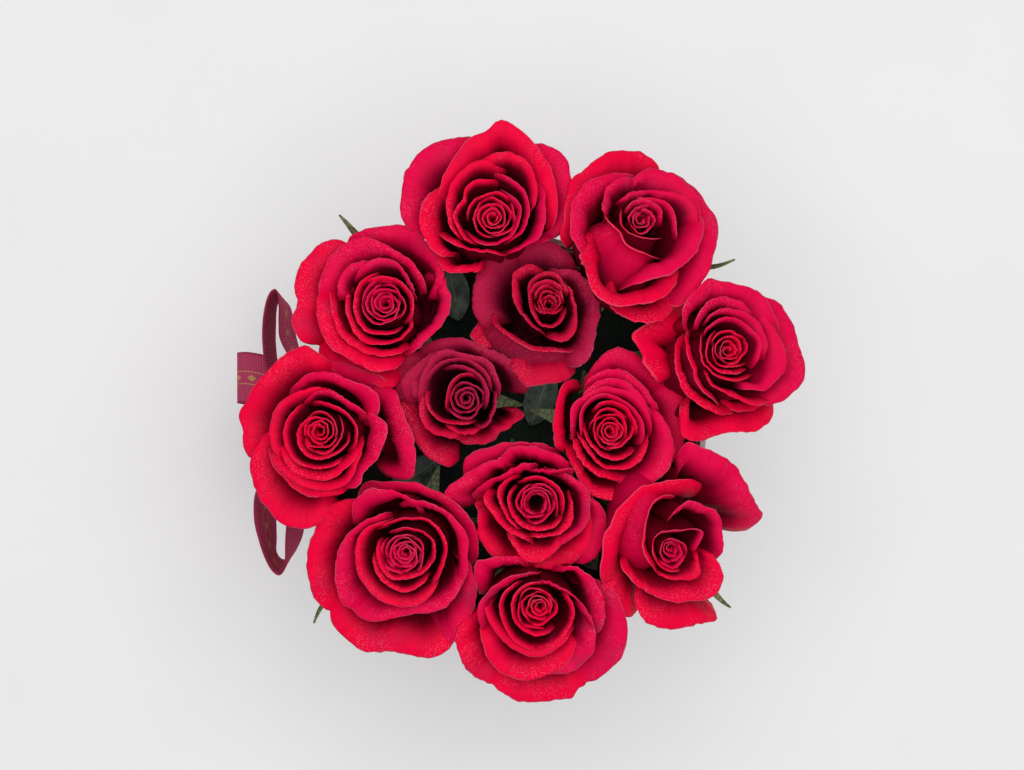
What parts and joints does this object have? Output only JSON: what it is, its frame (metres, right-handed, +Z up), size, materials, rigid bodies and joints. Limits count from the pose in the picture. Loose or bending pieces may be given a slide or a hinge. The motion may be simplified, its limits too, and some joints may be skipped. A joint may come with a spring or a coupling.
{
  "type": "flower box",
  "caption": "Round white paperboard box tied with a ribbon bow and filled with cut roses in floral foam; the roses and the inner tub lift out.",
  "frame": {"origin": "centre of the box's underside, on the table", "axes": "+Z up; the bow is on the -X side of the box"},
  "size_m": [0.2584, 0.2558, 0.2221],
  "materials": {
    "paperboard": "matte white paper wrap",
    "ribbon": "ribbed grosgrain, burgundy",
    "liner": "thin frosted tub",
    "foam": "wet floral foam",
    "leaf": "satin leaf",
    "stem": "smooth green stem",
    "petal": "velvety crimson petal"
  },
  "bodies": {
    "box": {"box_wall": "paperboard", "box_base": "paperboard", "ribbon_band": "ribbon", "bow_knot": "ribbon", "bow_loop_upper": "ribbon", "bow_loop_lower": "ribbon", "bow_tail_front": "ribbon", "bow_tail_back": "ribbon"},
    "insert": {"liner": "liner", "foam": "foam", "leaves": "leaf"},
    "rose_01": {"rose_01_stem": "stem", "rose_01_calyx": "leaf", "rose_01_heart": "petal", "rose_01_petals": "petal"},
    "rose_02": {"rose_02_stem": "stem", "rose_02_calyx": "leaf", "rose_02_heart": "petal", "rose_02_petals": "petal"},
    "rose_03": {"rose_03_stem": "stem", "rose_03_calyx": "leaf", "rose_03_heart": "petal", "rose_03_petals": "petal"},
    "rose_04": {"rose_04_stem": "stem", "rose_04_calyx": "leaf", "rose_04_heart": "petal", "rose_04_petals": "petal"},
    "rose_05": {"rose_05_stem": "stem", "rose_05_calyx": "leaf", "rose_05_heart": "petal", "rose_05_petals": "petal"},
    "rose_06": {"rose_06_stem": "stem", "rose_06_calyx": "leaf", "rose_06_heart": "petal", "rose_06_petals": "petal"},
    "rose_07": {"rose_07_stem": "stem", "rose_07_calyx": "leaf", "rose_07_heart": "petal", "rose_07_petals": "petal"},
    "rose_08": {"rose_08_stem": "stem", "rose_08_calyx": "leaf", "rose_08_heart": "petal", "rose_08_petals": "petal"},
    "rose_09": {"rose_09_stem": "stem", "rose_09_calyx": "leaf", "rose_09_heart": "petal", "rose_09_petals": "petal"},
    "rose_10": {"rose_10_stem": "stem", "rose_10_calyx": "leaf", "rose_10_heart": "petal", "rose_10_petals": "petal"},
    "rose_11": {"rose_11_stem": "stem", "rose_11_calyx": "leaf", "rose_11_heart": "petal", "rose_11_petals": "petal"},
    "rose_12": {"rose_12_stem": "stem", "rose_12_calyx": "leaf", "rose_12_heart": "petal", "rose_12_petals": "petal"}
  },
  "joints": [
    {"name": "insert_lift", "type": "slide", "parent": "box", "child": "insert", "axis": [0, 0, 1], "range_m": [0, 0.16]},
    {"name": "rose_01_pull", "type": "slide", "parent": "insert", "child": "rose_01", "axis": [-0.012, 0.2297, 0.9732], "range_m": [0, 0.16]},
    {"name": "rose_02_pull", "type": "slide", "parent": "insert", "child": "rose_02", "axis": [0.2488, 0.3981, 0.8829], "range_m": [0, 0.16]},
    {"name": "rose_03_pull", "type": "slide", "parent": "insert", "child": "rose_03", "axis": [0.4238, 0.1627, 0.891], "range_m": [0, 0.16]},
    {"name": "rose_04_pull", "type": "slide", "parent": "insert", "child": "rose_04", "axis": [0.3188, -0.2232, 0.9212], "range_m": [0, 0.16]},
    {"name": "rose_05_pull", "type": "slide", "parent": "insert", "child": "rose_05", "axis": [0.0449, -0.2549, 0.9659], "range_m": [0, 0.16]},
    {"name": "rose_06_pull", "type": "slide", "parent": "insert", "child": "rose_06", "axis": [-0.1505, -0.1672, 0.9744], "range_m": [0, 0.16]},
    {"name": "rose_07_pull", "type": "slide", "parent": "insert", "child": "rose_07", "axis": [-0.2436, 0, 0.9699], "range_m": [0, 0.16]},
    {"name": "rose_08_pull", "type": "slide", "parent": "insert", "child": "rose_08", "axis": [-0.147, 0.147, 0.9781], "range_m": [0, 0.16]},
    {"name": "rose_09_pull", "type": "slide", "parent": "insert", "child": "rose_09", "axis": [0.0405, 0.1511, 0.9877], "range_m": [0, 0.16]},
    {"name": "rose_10_pull", "type": "slide", "parent": "insert", "child": "rose_10", "axis": [-0.0534, 0.0448, 0.9976], "range_m": [0, 0.16]},
    {"name": "rose_11_pull", "type": "slide", "parent": "insert", "child": "rose_11", "axis": [0.1564, 0, 0.9877], "range_m": [0, 0.16]},
    {"name": "rose_12_pull", "type": "slide", "parent": "insert", "child": "rose_12", "axis": [0.0298, -0.0819, 0.9962], "range_m": [0, 0.16]}
  ]
}
